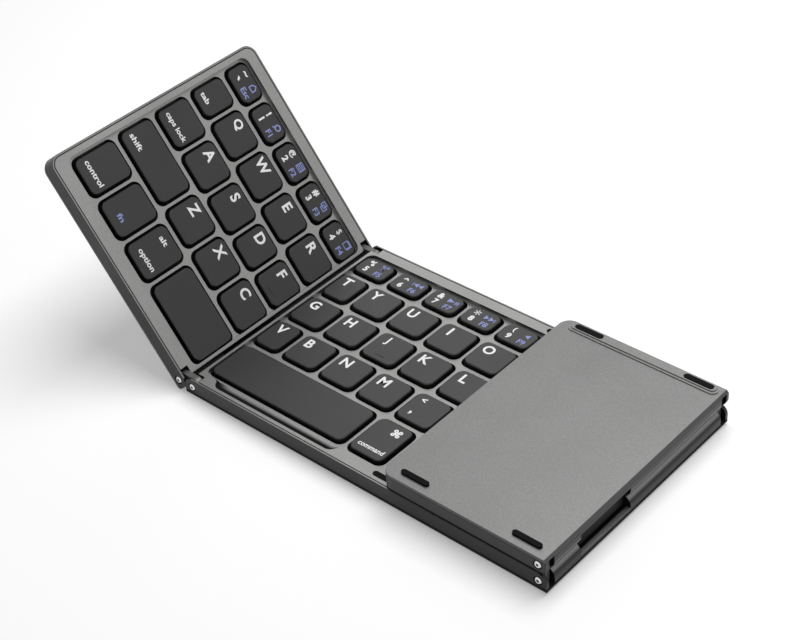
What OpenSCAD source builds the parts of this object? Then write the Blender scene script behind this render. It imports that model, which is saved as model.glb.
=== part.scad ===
// Three-panel folding keyboard. The centre panel lies on its feet, the left panel is raised on its
// hinge, and the right panel, which carries a touchpad, is folded over the centre, underside up.
// Millimetres. X runs to the typist's right, Y to the back, Z up. The origin is on the desk, under
// the middle of the whole keyboard as it lies here.

/* [Panels] */
// Front-to-back depth of every panel
depth = 98; // [90:0.5:110]
// Width of the centre panel
centre_w = 157.5; // [145:0.5:175]
// Width of the left panel
left_w = 91.15; // [80:0.05:92]
// Width of the right panel
right_w = 66.1; // [55:0.05:66.5]
// Thickness of every panel, without feet
panel_t = 6.6; // [6.2:0.05:7.2]
// Corner radius of the free corners, seen from above
corner_r = 4.5; // [3:0.1:7]
// Chamfer round the underside
edge_chamfer = 0.1; // [0.05:0.05:0.3]
// Small chamfer on the upper rim
rim_chamfer = 0.15; // [0.05:0.05:0.3]

/* [Hinges] */
// Distance between the two pins of a link
link_pitch = 6.8; // [6.7:0.05:7.6]
// How far the left panel is raised from flat, in degrees
wing_angle = 53; // [0:1:90]
// Pin radius
pin_r = 0.8; // [0.6:0.05:1]
// Outer radius of the pin's ring head
head_r = 1.25; // [1.2:0.05:1.6]
// Radius of the sink round the ring head
sink_r = 1.65; // [1.6:0.05:2]
// Depth of the sink
sink_d = 0.55; // [0.4:0.05:0.7]
// Thickness of the side wall outside a link
outer_wall = 1.3; // [1:0.05:1.6]
// Width of the notch that a link lies in
notch_w = 2.8; // [2.5:0.05:3.2]
// Thickness of a link
link_w = 2.3; // [1.8:0.05:2.3]
// How far a pin reaches past the notch
pin_grip = 1.2; // [0.8:0.05:1.4]
// Radius of the hole in a pin's ring head
pin_hole = 0.5; // [0.4:0.05:0.65]
// Radial clearance of a pin in its link
pin_fit = 0.05; // [0.02:0.01:0.08]
// First edge of the cable recess, from the front
cable_y0 = 17.4; // [14:0.1:20]
// Length of the cable recess
cable_len = 25.7; // [20:0.1:28]

/* [Deck] */
// Width of the frame's rim round the deck
rim_w = 0.7; // [0.6:0.05:1.1]
// Groove between the rim and the deck
groove_w = 0.35; // [0.15:0.05:0.4]
// Thickness of the deck's border
deck_t = 2.4; // [2.2:0.05:2.6]
// Depth of the sunken key field below the border
field_drop = 1.6; // [1.3:0.05:1.7]
// Corner radius of the key field
field_r = 3; // [2:0.1:4]
// Border in front of the keys
front_border = 6; // [5.8:0.1:7]
// Border behind the keys
rear_border = 5.3; // [5:0.1:5.6]
// Border at a panel's free end
free_border = 3.2; // [3:0.1:4.4]
// Strip between a hinge and the keys
hinge_border = 4.15; // [4:0.05:4.4]

/* [Keys] */
// Gap between the tops of neighbouring keys, side to side
key_space_x = 3.2; // [3:0.05:3.6]
// Gap between the tops of neighbouring keys, front to back
key_space_y = 3.5; // [3.2:0.05:3.8]
// Clearance from a key's top to the edge of its hole
hole_gap = 1.05; // [0.95:0.05:1.2]
// Corner radius of a key's top
cap_r = 2.5; // [1.5:0.1:3]
// Height of a key cap
cap_h = 1.9; // [1.7:0.05:2]
// Depth of the key tops below the deck's border
key_drop = 0.25; // [0.2:0.05:0.35]
// How much wider a cap is at its foot, each side
key_flare = 0.2; // [0.1:0.05:0.25]
// Bevel round a key's top
key_bevel = 0.3; // [0.15:0.05:0.4]
// Travel that the keys are given
key_travel = 1.4; // [1:0.1:1.45]
// Radius of the plunger under a key
plunger_r = 1.5; // [1.2:0.1:1.6]
// Wall of the rubber collar that guides a plunger
collar_wall = 0.9; // [0.7:0.1:1]

/* [Underside] */
// Height of a back plate's side
plate_t = 1.4; // [1.3:0.05:1.6]
// Thickness of a back plate's floor
plate_floor = 0.8; // [0.7:0.05:0.9]
// Height of the seam between a back plate and its frame
seam_h = 0.2; // [0.1:0.05:0.3]
// Depth of the seam
seam_d = 0.25; // [0.1:0.05:0.4]
// Distance of the rear rail from the rear edge
rail_border = 0.95; // [0.9:0.05:1.3]
// Height of the rear rail under a back plate
rail_h = 0.7; // [0.5:0.05:0.7]
// Height of the panels above the desk
foot_h = 0.8; // [0.75:0.05:1.2]
// Length of a rubber foot
foot_l = 11.2; // [9:0.1:12]
// Width of a rubber foot
foot_w = 2; // [1.6:0.1:2.2]

/* [Electronics] */
// Length of the main board, side to side
board_l = 28; // [20:0.5:40]
// Width of the main board, front to back
board_w = 34; // [20:0.5:40]
// Length of the battery, side to side
cell_l = 34; // [20:0.5:40]
// Width of the battery, front to back
cell_w = 50; // [30:0.5:60]
// Thickness of the battery
cell_t = 2.4; // [2:0.05:2.5]

/* [Touchpad] */
// Width of the touchpad
pad_w = 50; // [40:0.5:50]
// Depth of the touchpad
pad_d = 74; // [60:0.5:76]
// Corner radius of the touchpad
pad_r = 3; // [1.5:0.5:5]
// Thickness of the touchpad's surface
pad_t = 0.9; // [0.8:0.05:1]

/* [Hidden] */
$fn = 64;
far = 200;
eps = 0.01;
end_r = panel_t / 2;
pin_in = end_r;
pin_z = end_r;
deck_z = panel_t - deck_t;
field_z = panel_t - field_drop;
deck_in = rim_w + groove_w;
deck_end = pin_in - 0.3;
hinge_groove = 0.15;
field_wall = 4.1;
side_wall = outer_wall + notch_w + 1.5;
sheet_z = 2.1;
sheet_t = 0.7;
board_z = plate_floor;
board_t = 0.8;
notch_z = pin_z - 2.45;
notch_x = pin_in + 3;
link_top = 2.6;
link_round = 2.25;
link_low = 1.6;
link_end = 2.2;
bore_play = 0.02;
pin_len = outer_wall + notch_w + pin_grip;
strip_lo = 0.75;
strip_t = 0.3;
cable_z = pin_z - strip_lo - 0.15;
cable_x = pin_in + 0.35;
cap_z1 = panel_t - key_drop;
cap_z0 = cap_z1 - cap_h;
scoop_front = 2.3;
// The trough is the lower part of a round bar's shape, this wide and this deep
scoop_half = 3.3;
scoop_lift = 0.06;
scoop_deep = field_drop - scoop_lift;
scoop_r = (pow(scoop_half, 2) + pow(scoop_deep, 2)) / (2 * scoop_deep);
cap_top = 1;
cap_ceiling = cap_z1 - cap_top;
plunger_gap = 0.15;
plunger_z = sheet_z + key_travel + plunger_gap;
collar_z = cap_ceiling - key_travel - plunger_gap;
wide_key = 25;
key_edge = 4.6;
free_edge = 5.1;
free_wall = free_edge - 0.7;
key_front = 8.3;
key_back = 6.9;
bump_h = 0.15;
// A hinge end's lower corner is cut back, so that it passes this far above the desk as the panel swings
desk_gap = 0.05;
hinge_chamfer = max(edge_chamfer, pin_in - sqrt(pow(pin_z + foot_h - desk_gap, 2) - pow(pin_z, 2)));
// How far the raised panel's tip lies to the left of the centre panel's left end
tip_x = link_pitch - pin_in + max(
  (left_w - pin_in - edge_chamfer) * cos(wing_angle) + pin_z * sin(wing_angle),
  (left_w - pin_in) * cos(wing_angle) + (pin_z - edge_chamfer) * sin(wing_angle));

// Slot widths of the rows, front row first, in key units. Each row is stretched over its field.
centre_rows = [
  [3.69, 0.993, 0.993, 0.993, 0.993, 0.99],
  [0.793, 1, 1, 1, 1, 1, 1, 1.86],
  [0.987, 1, 1, 1, 1, 1, 1, 1.666],
  [0.81, 1, 1, 1, 1, 1, 1, 1, 0.843],
  [0.959, 0.959, 0.959, 0.959, 0.959, 0.959, 0.959, 0.959, 0.982]
];
left_rows = [
  [0.97, 0.976, 0.979, 1.901],
  [1.797, 1, 0.99, 1.042],
  [1.029, 1.005, 0.999, 0.87, 0.925],
  [0.797, 1, 1, 1, 1.031],
  [0.966, 0.966, 0.966, 0.966, 0.966]
];
row_units = [1.213, 1, 1, 0.982, 0.731];

function sum_to(v, n) = n <= 0 ? 0 : v[n - 1] + sum_to(v, n - 1);
function total(v) = sum_to(v, len(v));

field_d = depth - key_front - key_back + key_space_y;
centre_field = centre_w - 2 * key_edge + key_space_x;
left_field = left_w - key_edge - free_edge + key_space_x;

function row_y0(r) = key_front + field_d * sum_to(row_units, r) / total(row_units);
function row_y1(r) = row_y0(r + 1) - key_space_y;
function centre_x(r, i) = key_edge + centre_field * sum_to(centre_rows[r], i) / total(centre_rows[r]);
function left_x(r, i) = free_edge - left_w + left_field * sum_to(left_rows[r], i) / total(left_rows[r]);
// A key's rectangle: left, right, front, back
function centre_key(r, i) = [centre_x(r, i), centre_x(r, i + 1) - key_space_x, row_y0(r), row_y1(r)];
function left_key(r, i) = [left_x(r, i), left_x(r, i + 1) - key_space_x, row_y0(r), row_y1(r)];
arrow_slot = 4;
arrow_mid = (row_y0(0) + row_y1(0)) / 2;
up_key = [centre_key(0, arrow_slot)[0], centre_key(0, arrow_slot)[1], arrow_mid + key_space_x / 2, row_y1(0)];
down_key = [up_key[0], up_key[1], row_y0(0), arrow_mid - key_space_x / 2];

body_col = [0.36, 0.36, 0.37];
deck_col = [0.52, 0.52, 0.53];
key_col = [0.17, 0.17, 0.18];
dark_col = [0.08, 0.08, 0.08];
steel_col = [0.75, 0.75, 0.76];
green_col = [0.1, 0.32, 0.18];

// ---- Placing the panels ----
module on_desk() { translate([(tip_x - centre_w) / 2, -depth / 2, foot_h]) children(); }
// Frame of the left hinge's outer pin, turned with the raised panel
module at_left() {
  on_desk() translate([pin_in - link_pitch, 0, pin_z]) rotate([0, wing_angle, 0])
    translate([pin_in, 0, -pin_z]) children();
}
module at_right() {
  on_desk() translate([centre_w - pin_in, 0, pin_z + link_pitch]) rotate([0, 180, 0])
    translate([-pin_in, 0, -pin_z]) children();
}
module at_left_link() { on_desk() translate([pin_in - link_pitch, 0, pin_z]) children(); }
module at_right_link() { on_desk() translate([centre_w - pin_in, 0, pin_z]) rotate([0, -90, 0]) children(); }

// ---- Helpers ----
// Profile in X and Z, drawn out along Y
module along_y(y0, y1) { translate([0, y1, 0]) rotate([90, 0, 0]) linear_extrude(y1 - y0) children(); }
// Profile in Y and Z, drawn out along X
module along_x(x0, x1) { translate([x0, 0, 0]) rotate([90, 0, 90]) linear_extrude(x1 - x0) children(); }
module box(x0, x1, y0, y1, z0, z1) { translate([x0, y0, z0]) cube([x1 - x0, y1 - y0, z1 - z0]); }
// Rectangle with four round corners
module round_rect(x0, x1, y0, y1, r) {
  translate([x0 + r, y0]) square([x1 - x0 - 2 * r, y1 - y0]);
  translate([x0, y0 + r]) square([x1 - x0, y1 - y0 - 2 * r]);
  for (x = [x0 + r, x1 - r], y = [y0 + r, y1 - r]) translate([x, y]) circle(r);
}
// Rectangle with round corners at its far X end only
module tongue(x0, x1, y0, y1, r) {
  translate([x0, y0]) square([x1 - x0 - r, y1 - y0]);
  translate([x0, y0 + r]) square([x1 - x0, y1 - y0 - 2 * r]);
  for (y = [y0 + r, y1 - r]) translate([x1 - r, y]) circle(r);
}
module pill(x0, x1, yc, w) {
  translate([x0 + w / 2, yc - w / 2]) square([x1 - x0 - w, w]);
  for (x = [x0 + w / 2, x1 - w / 2]) translate([x, yc]) circle(w / 2);
}
// Both the front and the rear of a panel
module front_and_rear() {
  children();
  translate([0, depth, 0]) mirror([0, 1, 0]) children();
}

// ---- Panel blocks; the hinge end is at X = 0 and the body runs to +X ----
module side_profile() {
  polygon([[edge_chamfer, 0], [depth - edge_chamfer, 0], [depth, edge_chamfer],
    [depth, panel_t - rim_chamfer], [depth - rim_chamfer, panel_t], [rim_chamfer, panel_t],
    [0, panel_t - rim_chamfer], [0, edge_chamfer]]);
}
module hinge_profile(length, cut) {
  translate([pin_in, pin_z]) circle(end_r);
  polygon([[cut, 0], [length, 0], [length, panel_t], [pin_in, panel_t],
    [pin_in, pin_z], [0, pin_z], [0, cut]]);
}
module wing_block(w) {
  intersection() {
    union() {
      along_x(0, w - corner_r) side_profile();
      along_y(corner_r, depth - corner_r) polygon([[w - corner_r - 1, 0], [w - edge_chamfer, 0],
        [w, edge_chamfer], [w, panel_t - rim_chamfer], [w - rim_chamfer, panel_t],
        [w - corner_r - 1, panel_t]]);
      for (y = [corner_r, depth - corner_r]) translate([w - corner_r, y, 0]) rotate_extrude()
        polygon([[0, 0], [corner_r - edge_chamfer, 0], [corner_r, edge_chamfer],
          [corner_r, panel_t - rim_chamfer], [corner_r - rim_chamfer, panel_t], [0, panel_t]]);
    }
    along_y(-1, depth + 1) hinge_profile(w + 1, hinge_chamfer);
  }
}
module centre_block() {
  intersection() {
    along_x(0, centre_w) side_profile();
    along_y(-1, depth + 1) hinge_profile(centre_w + 1, edge_chamfer);
    along_y(-2, depth + 2) translate([centre_w, 0]) mirror([1, 0]) hinge_profile(centre_w + 2, edge_chamfer);
  }
}
// What every hinge end has cut from its frame
module hinge_cuts() {
  front_and_rear() {
    box(-1, notch_x, outer_wall, outer_wall + notch_w, notch_z, panel_t + 1);
    along_y(-1, pin_len) translate([pin_in, pin_z]) circle(pin_r + bore_play);
    along_y(-1, sink_d) translate([pin_in, pin_z]) circle(sink_r);
  }
  box(-1, cable_x, cable_y0, cable_y0 + cable_len, cable_z, panel_t + 1);
}
// The same notches through the deck
module deck_notches() {
  front_and_rear() box(-1, notch_x, 0, outer_wall + notch_w, 0, panel_t + 1);
}
module wing_plan(w, grow) {
  tongue(deck_end - (grow > 0 ? hinge_groove : 0), w - deck_in + grow, deck_in - grow,
    depth - deck_in + grow, corner_r - deck_in + grow);
}
module centre_plan(grow) {
  translate([deck_end - grow, deck_in - grow])
    square([centre_w - 2 * (deck_end - grow), depth - 2 * (deck_in - grow)]);
}
module wing_frame(w, floor_z) {
  difference() {
    wing_block(w);
    translate([0, 0, deck_z]) linear_extrude(deck_t + 1) wing_plan(w, groove_w);
    box(field_wall, w - free_wall, side_wall, depth - side_wall, floor_z, panel_t);
    box(-1, w + 1, -1, depth + 1, -1, plate_t);
    hinge_cuts();
  }
}
module field_plan(x0, x1) { round_rect(x0, x1, front_border, depth - rear_border, field_r); }
module key_hole(k) {
  round_rect(k[0] - hole_gap, k[1] + hole_gap, k[2] - hole_gap, k[3] + hole_gap, cap_r + 0.6);
}

// ---- Back plates with their rear rails ----
rail_y0 = depth - 5.3;
rail_y1 = depth - rail_border;
rail_step = 0.9;
// The rail runs nearly from the hinge to the free end, and is rounded at its ends
rail_near = 2.3;
rail_far = 3.5;
rear_foot_y = (rail_y0 + rail_step + rail_y1) / 2;
front_foot_y = 3.9;
foot_sunk = 0.3;
function foot_places(x0, x1) = [x0 + 2.1, x1 - 2.5 - foot_l];
module rail(x0, x1) {
  difference() {
    union() {
      translate([0, 0, -rail_h / 2]) linear_extrude(rail_h / 2 + eps)
        pill(x0, x1, (rail_y0 + rail_y1) / 2, rail_y1 - rail_y0);
      translate([0, 0, -rail_h]) linear_extrude(rail_h)
        pill(x0 + rail_step, x1 - rail_step, rear_foot_y, rail_y1 - rail_y0 - rail_step);
    }
    for (x = foot_places(x0, x1)) translate([0, 0, -rail_h - 1]) linear_extrude(1 + rail_h - foot_sunk)
      pill(x - 0.3, x + foot_l + 0.3, rear_foot_y, foot_w + 0.6);
  }
}
module feet(x0, x1) {
  for (x = foot_places(x0, x1)) {
    translate([0, 0, -foot_h]) linear_extrude(foot_h) pill(x, x + foot_l, front_foot_y, foot_w);
    translate([0, 0, -foot_h]) linear_extrude(foot_h - foot_sunk) pill(x, x + foot_l, rear_foot_y, foot_w);
  }
}
// The groove that runs round the top of a plate's side
module seam() {
  translate([0, 0, plate_t - seam_h]) linear_extrude(1) difference() {
    translate([-far, -far]) square(3 * far);
    children();
  }
}
module wing_plate(w) {
  difference() {
    intersection() {
      wing_block(w);
      box(-1, w + 1, -1, depth + 1, -1, plate_t);
    }
    box(field_wall, w - free_wall, side_wall, depth - side_wall, plate_floor, panel_t);
    seam() tongue(seam_d, w - seam_d, seam_d, depth - seam_d, corner_r - seam_d);
    hinge_cuts();
  }
  rail(rail_near, w - rail_far);
}

// ---- Keys ----
module cap(k) {
  r = cap_r;
  f = key_flare;
  b = key_bevel;
  difference() {
    union() {
      along_y(k[2] + r, k[3] - r) polygon([[k[0] - f, cap_z0], [k[1] + f, cap_z0],
        [k[1], cap_z1 - b], [k[1] - b, cap_z1], [k[0] + b, cap_z1], [k[0], cap_z1 - b]]);
      along_x(k[0] + r, k[1] - r) polygon([[k[2] - f, cap_z0], [k[3] + f, cap_z0],
        [k[3], cap_z1 - b], [k[3] - b, cap_z1], [k[2] + b, cap_z1], [k[2], cap_z1 - b]]);
      for (x = [k[0] + r, k[1] - r], y = [k[2] + r, k[3] - r]) translate([x, y, 0]) rotate_extrude()
        polygon([[0, cap_z0], [r + f, cap_z0], [r, cap_z1 - b], [r - b, cap_z1], [0, cap_z1]]);
    }
    box(k[0] + 1, k[1] - 1, k[2] + 1, k[3] - 1, cap_z0 - 1, cap_ceiling);
  }
  at_plungers(k) translate([0, 0, plunger_z]) cylinder(h = cap_ceiling - plunger_z + eps, r = plunger_r);
}
// A short key has one plunger in its middle, a wide one has three in a row
module at_plungers(k) {
  w = k[1] - k[0];
  for (s = w > wide_key ? [-0.3, 0, 0.3] : [0]) translate([(k[0] + k[1]) / 2 + s * w, (k[2] + k[3]) / 2, 0])
    children();
}
// Raised bar on the two keys that the forefingers find
module home_bar(k) {
  xm = (k[0] + k[1]) / 2;
  box(xm - 1.9, xm + 1.9, k[2] + 2.3, k[2] + 2.8, cap_z1 - 0.2, cap_z1 + 0.12);
}
module centre_cap(r, i) { color(key_col) on_desk() cap(centre_key(r, i)); }
module left_cap(r, i) { color(key_col) at_left() cap(left_key(r, i)); }
// Rubber collars of the sheet under a key, and the bores that its plungers run in
module collars(k) {
  at_plungers(k) translate([0, 0, sheet_z])
    cylinder(h = collar_z - sheet_z, r = plunger_r + plunger_gap + collar_wall);
}
module collar_bores(k) {
  at_plungers(k) translate([0, 0, sheet_z - 1]) cylinder(h = 9, r = plunger_r + plunger_gap);
}

// ---- Centre panel ----
board_x1 = centre_w - 18;
board_x0 = board_x1 - board_l;
board_y0 = depth - side_wall - board_w;
socket_x = board_x1 - 12;
socket_w = 9;
socket_h = 3.2;
socket_l = 5.9;
shell_t = 0.35;
socket_z = deck_z - 0.05 - socket_h;
module centre_hinge_cuts() {
  hinge_cuts();
  translate([centre_w, 0, 0]) mirror([1, 0, 0]) hinge_cuts();
}
// Room for the charging socket, and its opening in the rear side
module socket_space() {
  x0 = socket_x - socket_w / 2;
  x1 = socket_x + socket_w / 2;
  box(x0 - 0.2, x1 + 0.2, depth - side_wall - 1, depth - 1, socket_z - 0.2, deck_z + 0.1);
  along_y(depth - 2, depth + 1)
    round_rect(x0 - 0.1, x1 + 0.1, socket_z - 0.1, socket_z + socket_h + 0.1, 1.6);
}
module centre_frame() {
  color(body_col) on_desk() difference() {
    centre_block();
    translate([0, 0, deck_z]) linear_extrude(deck_t + 1) intersection() {
      centre_plan(groove_w);
      translate([deck_end - hinge_groove, 0]) square([centre_w - 2 * (deck_end - hinge_groove), depth]);
    }
    box(field_wall, centre_w - field_wall, side_wall, depth - side_wall, sheet_z, panel_t);
    box(board_x0 - 0.3, board_x1 + 0.3, board_y0 - 0.3, depth - side_wall, board_z, panel_t);
    socket_space();
    box(-1, centre_w + 1, -1, depth + 1, -1, plate_t);
    centre_hinge_cuts();
  }
}
// Finger trough in front of the long space bar, with S-shaped ends
bumper_x = centre_w - right_w - 0.1;
bumper_y = [3.5, depth - 2.9];
module scoop() {
  mid_y = scoop_front + scoop_half;
  left_x0 = key_edge + 9.8;
  right_x0 = centre_key(0, 0)[1] - 1.6;
  top_y = front_border + eps;
  // The outward curve of each end, in the border, meets the inward curve of the trough
  bend_y = front_border - scoop_half;
  bend_x = sqrt(4 * pow(scoop_half, 2) - pow(mid_y - bend_y, 2));
  translate([left_x0, mid_y, field_z + scoop_lift + scoop_r]) rotate([0, 90, 0])
    cylinder(h = right_x0 - left_x0, r = scoop_r);
  for (x = [left_x0, right_x0]) {
    side = x == left_x0 ? -1 : 1;
    translate([x, mid_y, field_z + scoop_lift + scoop_r]) sphere(scoop_r);
    difference() {
      translate([0, 0, field_z + scoop_lift]) linear_extrude(field_drop + 1)
        polygon([[x, mid_y], [x + side * bend_x, bend_y], [x + side * bend_x, top_y], [x, top_y]]);
      translate([x + side * bend_x, bend_y, field_z]) rotate_extrude() difference() {
        square([2 * scoop_half, field_drop + 1]);
        translate([2 * scoop_half, scoop_lift + scoop_r]) circle(scoop_r);
      }
    }
  }
}
module centre_deck() {
  color(deck_col) on_desk() difference() {
    intersection() {
      translate([0, 0, deck_z]) linear_extrude(deck_t) centre_plan(0);
      along_y(0, depth) hinge_profile(centre_w + 1, 0);
      along_y(-1, depth + 1) translate([centre_w, 0]) mirror([1, 0]) hinge_profile(centre_w + 2, 0);
    }
    translate([0, 0, field_z]) linear_extrude(field_drop + 1)
      field_plan(hinge_border, centre_w - hinge_border);
    translate([0, 0, deck_z - 1]) linear_extrude(deck_t) intersection() {
      for (k = centre_keys) key_hole(k);
      field_plan(hinge_border, centre_w - hinge_border);
    }
    scoop();
    deck_notches();
    translate([centre_w, 0, 0]) mirror([1, 0, 0]) deck_notches();
    translate([0, 0, panel_t - 0.6]) linear_extrude(1) for (y = bumper_y)
      pill(bumper_x - 6.3, bumper_x + 6.3, y, 2.2);
  }
}
module centre_back_plate() {
  color(deck_col) on_desk() {
    difference() {
      intersection() {
        centre_block();
        box(-1, centre_w + 1, -1, depth + 1, -1, plate_t);
      }
      box(field_wall, centre_w - field_wall, side_wall, depth - side_wall, plate_floor, panel_t);
      seam() translate([seam_d, seam_d]) square([centre_w - 2 * seam_d, depth - 2 * seam_d]);
      socket_space();
      centre_hinge_cuts();
    }
    rail(rail_near, centre_w - rail_near);
  }
}
module centre_rubber_pads() {
  color(dark_col) on_desk() {
    feet(rail_near, centre_w - rail_near);
    translate([0, 0, panel_t - 0.6]) linear_extrude(0.6 + bump_h) for (y = bumper_y)
      pill(bumper_x - 6.25, bumper_x + 6.25, y, 2.1);
  }
}
centre_keys = [
  for (r = [0:4], i = [0:len(centre_rows[r]) - 1]) if (!(r == 0 && i == arrow_slot)) centre_key(r, i),
  up_key, down_key
];
left_keys = [for (r = [0:4], i = [0:len(left_rows[r]) - 1]) left_key(r, i)];
module centre_key_sheet() {
  color([0.2, 0.2, 0.21]) on_desk() difference() {
    union() {
      box(field_wall + 0.2, centre_w - field_wall - 0.2, side_wall + 0.3, depth - side_wall - 1, sheet_z,
        sheet_z + sheet_t);
      for (k = centre_keys) collars(k);
    }
    for (k = centre_keys) collar_bores(k);
  }
}
module main_board() {
  color(green_col) on_desk() difference() {
    box(board_x0, board_x1, board_y0, depth - side_wall - 0.4, board_z, board_z + board_t);
    box(socket_x - socket_w / 2 - 0.1, socket_x + socket_w / 2 + 0.1,
      depth - side_wall - 2, depth, 0, panel_t);
  }
}
module charge_socket() {
  color(steel_col) on_desk() difference() {
    along_y(depth - 0.3 - socket_l, depth - 0.3)
      round_rect(socket_x - socket_w / 2, socket_x + socket_w / 2, socket_z, socket_z + socket_h, 1.55);
    along_y(depth - socket_l, depth)
      round_rect(socket_x - socket_w / 2 + shell_t, socket_x + socket_w / 2 - shell_t,
        socket_z + shell_t, socket_z + socket_h - shell_t, 1.2);
  }
}

// ---- Left panel: its own frame is mirrored, so the body runs to -X ----
module left_side() { at_left() mirror([1, 0, 0]) children(); }
module left_frame() { color(body_col) left_side() wing_frame(left_w, sheet_z); }
module left_deck() {
  color(deck_col) difference() {
    left_side() difference() {
      intersection() {
        translate([0, 0, deck_z]) linear_extrude(deck_t) wing_plan(left_w, 0);
        along_y(0, depth) hinge_profile(left_w + 1, 0);
      }
      translate([0, 0, field_z]) linear_extrude(field_drop + 1)
        field_plan(hinge_border, left_w - free_border);
      deck_notches();
    }
    at_left() translate([0, 0, deck_z - 1]) linear_extrude(deck_t) intersection() {
      for (k = left_keys) key_hole(k);
      field_plan(free_border - left_w, -hinge_border);
    }
  }
}
module left_back_plate() { color(deck_col) left_side() wing_plate(left_w); }
module left_rubber_feet() { color(dark_col) left_side() feet(rail_near, left_w - rail_far); }
module left_key_sheet() {
  color([0.2, 0.2, 0.21]) at_left() difference() {
    union() {
      box(free_wall + 0.3 - left_w, -field_wall - 0.2, side_wall + 0.3, depth - side_wall - 0.3, sheet_z,
        sheet_z + sheet_t);
      for (k = left_keys) collars(k);
    }
    for (k = left_keys) collar_bores(k);
  }
}

// ---- Right panel with the touchpad ----
pad_x0 = (right_w + hinge_border - free_border - pad_w) / 2;
pad_y0 = (depth - pad_d) / 2;
pad_xm = pad_x0 + pad_w / 2;
module right_frame() { color(body_col) at_right() wing_frame(right_w, board_z); }
module right_deck() {
  color(deck_col) at_right() difference() {
    intersection() {
      translate([0, 0, deck_z]) linear_extrude(deck_t) wing_plan(right_w, 0);
      along_y(0, depth) hinge_profile(right_w + 1, 0);
    }
    translate([0, 0, panel_t - 0.2 - pad_t]) linear_extrude(pad_t + 1)
      round_rect(pad_x0 - 0.15, pad_x0 + pad_w + 0.15, pad_y0 - 0.15, pad_y0 + pad_d + 0.15, pad_r + 0.15);
    box(pad_x0 + 2, pad_x0 + pad_w - 2, pad_y0 + 2, pad_y0 + pad_d - 2, deck_z - 1, panel_t);
    deck_notches();
  }
}
module right_back_plate() { color(deck_col) at_right() wing_plate(right_w); }
module right_rubber_feet() { color(dark_col) at_right() feet(rail_near, right_w - rail_far); }
module touchpad() {
  color(key_col) at_right() translate([0, 0, panel_t - 0.2 - pad_t]) linear_extrude(pad_t)
    round_rect(pad_x0, pad_x0 + pad_w, pad_y0, pad_y0 + pad_d, pad_r);
}
module touchpad_board() {
  color(green_col) at_right() box(pad_x0 + 2.3, pad_x0 + pad_w - 2.3, pad_y0 + 2.3, pad_y0 + pad_d - 2.3,
    panel_t - 0.2 - pad_t - board_t, panel_t - 0.2 - pad_t);
}
module battery() {
  color([0.6, 0.6, 0.62]) at_right() box(pad_xm - cell_l / 2, pad_xm + cell_l / 2,
    (depth - cell_w) / 2, (depth + cell_w) / 2, board_z, board_z + cell_t);
}

// ---- Hinge pieces ----
module link_profile() {
  intersection() {
    union() {
      for (x = [0, link_pitch]) translate([x, 0]) {
        circle(link_round);
        intersection() {
          circle(link_top);
          translate([-link_top, 0]) square([2 * link_top, link_top]);
        }
      }
      translate([0, -link_low]) square([link_pitch, link_low + link_top]);
    }
    translate([-link_end, -link_low]) square([link_pitch + 2 * link_end, link_low + link_top]);
  }
}
module link_bar() {
  along_y(outer_wall + 0.25, outer_wall + 0.25 + link_w) difference() {
    link_profile();
    circle(pin_r + pin_fit);
    translate([link_pitch, 0]) circle(pin_r + pin_fit);
  }
}
module cable_strip() {
  box(-0.2, link_pitch + 0.2, cable_y0 + 0.4, cable_y0 + cable_len - 0.4, -strip_lo, strip_t - strip_lo);
}
module left_links() { color(steel_col * 0.75) at_left_link() front_and_rear() link_bar(); }
module right_links() { color(steel_col * 0.75) at_right_link() front_and_rear() link_bar(); }
module left_cable_strip() { color(dark_col) at_left_link() cable_strip(); }
module right_cable_strip() { color(dark_col) at_right_link() cable_strip(); }
// One pin with its ring head, from the side face inwards
module pin(x) {
  translate([x, 0, pin_z]) rotate([-90, 0, 0]) difference() {
    rotate_extrude() polygon([[0, -0.1], [head_r - 0.25, -0.1], [head_r, 0.15], [head_r, sink_d - 0.05],
      [pin_r, sink_d - 0.05], [pin_r, pin_len - 0.1], [0, pin_len - 0.1]]);
    translate([0, 0, -1]) cylinder(h = 1.5, r = pin_hole);
  }
}
module centre_pins() {
  color(steel_col) on_desk() front_and_rear() { pin(pin_in); pin(centre_w - pin_in); }
}
module left_pins() { color(steel_col) at_left() front_and_rear() pin(-pin_in); }
module right_pins() { color(steel_col) at_right() front_and_rear() pin(pin_in); }

// ---- Left panel's keys ----
module key_space_left() { left_cap(0, 3); }
module keys_modifier_left() {
  left_cap(0, 0); left_cap(0, 1); left_cap(0, 2); left_cap(1, 0); left_cap(2, 0); left_cap(3, 0);
}
module keys_number_left() { for (i = [0:4]) left_cap(4, i); }
module key_z() { left_cap(1, 1); }
module key_x() { left_cap(1, 2); }
module key_c() { left_cap(1, 3); }
module key_a() { left_cap(2, 1); }
module key_s() { left_cap(2, 2); }
module key_d() { left_cap(2, 3); }
module key_f() { left_cap(2, 4); color(key_col) at_left() home_bar(left_key(2, 4)); }
module key_q() { left_cap(3, 1); }
module key_w() { left_cap(3, 2); }
module key_e() { left_cap(3, 3); }
module key_r() { left_cap(3, 4); }

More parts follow.
